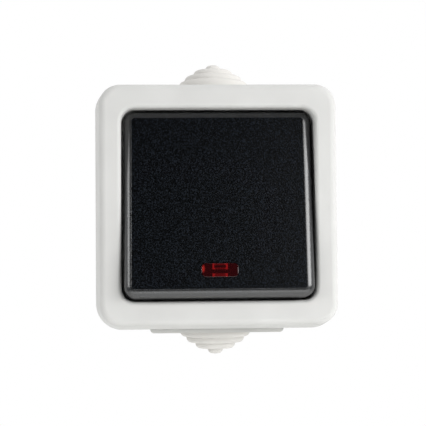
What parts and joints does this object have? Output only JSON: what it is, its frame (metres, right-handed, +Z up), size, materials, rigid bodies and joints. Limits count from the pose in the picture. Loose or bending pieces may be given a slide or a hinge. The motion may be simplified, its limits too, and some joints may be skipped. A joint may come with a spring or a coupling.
{
  "type": "illuminated light switch",
  "caption": "Surface-mounted splash-proof rocker switch: pale cover frame, black rocker with a red indicator window, stepped cable grommets above and below.",
  "frame": {"origin": "centre of the back face that lies on the wall", "axes": "+Y into the wall, the front faces -Y, +Z up, +X to the right seen from the front"},
  "size_m": [0.07, 0.0441, 0.0872],
  "materials": {
    "cover_plastic": "satin moulded",
    "box_plastic": "satin moulded",
    "rocker_plastic": "fine spark-eroded texture",
    "red_window": "clear red, polished",
    "grommet_rubber": "soft matt",
    "seal_rubber": "soft matt",
    "clear_rubber": "clear, soft",
    "mechanism_plastic": "moulded",
    "tumbler_plastic": "moulded",
    "brass": "stamped",
    "silver": "coined silver",
    "zinc_steel": "zinc plated",
    "spring_steel": "drawn wire",
    "lamp_glass": "clear",
    "resistor_body": "lacquered",
    "tinned_copper": "tinned wire"
  },
  "bodies": {
    "housing": {"base_box": "box_plastic", "cover_frame": "cover_plastic", "cover_gasket": "seal_rubber", "cover_screws": "zinc_steel", "grommet_top": "grommet_rubber", "grommet_bottom": "grommet_rubber", "stem_seal": "seal_rubber", "lamp_cap": "clear_rubber", "mechanism_body": "mechanism_plastic", "mechanism_cover": "mechanism_plastic", "mechanism_screws": "zinc_steel", "common_terminal": "brass", "contact_terminal": "brass", "fixed_rivet": "silver", "terminal_saddles": "zinc_steel", "terminal_screws": "zinc_steel", "lamp_holder": "mechanism_plastic", "neon_lamp": "lamp_glass", "lamp_resistor": "resistor_body", "lamp_leads": "tinned_copper"},
    "rocker": {"rocker": "rocker_plastic", "indicator_lens": "red_window", "tumbler": "tumbler_plastic", "plunger_spring": "spring_steel"},
    "plunger": {"plunger": "brass"},
    "seesaw": {"contact_seesaw": "brass", "moving_rivet": "silver"}
  },
  "joints": [
    {"name": "rocker_tilt", "type": "hinge", "parent": "housing", "child": "rocker", "pos_m": [0, -0.0365, 0], "axis": [1, 0, 0], "range_deg": [0, 16.28]},
    {"name": "contact_tilt", "type": "hinge", "parent": "housing", "child": "seesaw", "pos_m": [0, -0.01375, 0], "axis": [1, 0, 0], "range_deg": [-14.05, 0]},
    {"name": "plunger_slide", "type": "slide", "parent": "rocker", "child": "plunger", "axis": [0, -0.9899, 0.1416], "range_m": [0, 0.001], "stiffness_N_per_m": 400, "deforming": ["plunger_spring"]}
  ],
  "couplings": [
    {"joint": "contact_tilt", "follows": "rocker_tilt", "ratio": -0.85995}
  ]
}
